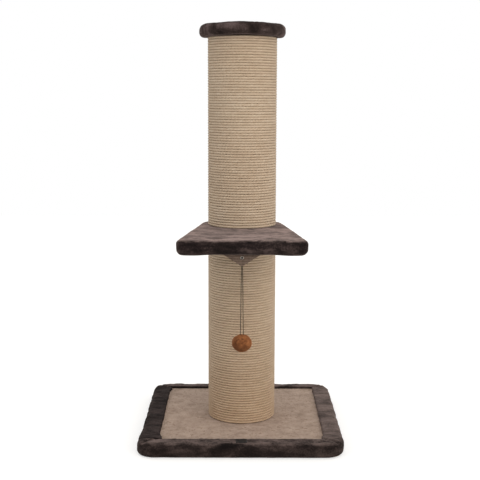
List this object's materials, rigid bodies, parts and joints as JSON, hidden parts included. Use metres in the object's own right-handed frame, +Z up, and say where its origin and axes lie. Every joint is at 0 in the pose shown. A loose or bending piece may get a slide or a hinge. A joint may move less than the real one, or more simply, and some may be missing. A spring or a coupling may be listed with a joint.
{
  "type": "cat scratching post",
  "caption": "Cat scratching post: square carpeted base with a plush border, thick sisal-wound post, plush perch half-way up, round plush cap and a pompom that swings under the perch.",
  "frame": {"origin": "on the floor, under the axis of the posts and the middle of the square base", "axes": "+Z up along the posts, -Y towards the front, where the perch and the toy are, +X to the right seen from the front"},
  "size_m": [0.458, 0.4875, 0.9505],
  "materials": {
    "fibreboard": "raw fibreboard",
    "carpet": "beige looped carpet",
    "plush": "dark taupe short-pile plush",
    "label": "black woven label, blank",
    "steel": "zinc plated",
    "card": "kraft tube",
    "sisal": "natural twisted sisal rope",
    "tab_cloth": "matte cloth",
    "eyelet": "dark plated",
    "cord": "thin elastic cord",
    "pompom": "rust-brown cut yarn"
  },
  "bodies": {
    "stand": {"base_board": "fibreboard", "platform_board": "fibreboard", "cap_board": "fibreboard", "lower_foot_plug": "fibreboard", "lower_head_plug": "fibreboard", "upper_foot_plug": "fibreboard", "upper_head_plug": "fibreboard", "base_carpet": "carpet", "border_front": "plush", "border_back": "plush", "border_left": "plush", "border_right": "plush", "platform_cover": "plush", "cap_cover": "plush", "base_label": "label", "base_bolt": "steel", "base_washer": "steel", "lower_foot_tnut": "steel", "lower_head_tnut": "steel", "upper_foot_tnut": "steel", "upper_head_tnut": "steel", "lower_nails": "steel", "upper_nails": "steel", "platform_stud": "steel", "cap_bolt": "steel", "border_staples": "steel", "tab_staples": "steel", "lower_tube": "card", "upper_tube": "card", "lower_rope": "sisal", "upper_rope": "sisal", "tab_hem": "tab_cloth"},
    "tab": {"toy_tab": "tab_cloth", "tab_eyelet": "eyelet"},
    "toy": {"toy_cord": "cord", "cord_knot": "cord", "pompom": "pompom"}
  },
  "joints": [
    {"name": "tab_swing", "type": "hinge", "parent": "stand", "child": "tab", "pos_m": [0, -0.2325, 0.4562], "axis": [1, 0, 0], "range_deg": [-40, 36]},
    {"name": "toy_swing", "type": "hinge", "parent": "tab", "child": "toy", "pos_m": [0, -0.2325, 0.45], "axis": [0, 1, 0], "range_deg": [-60, 60]}
  ]
}
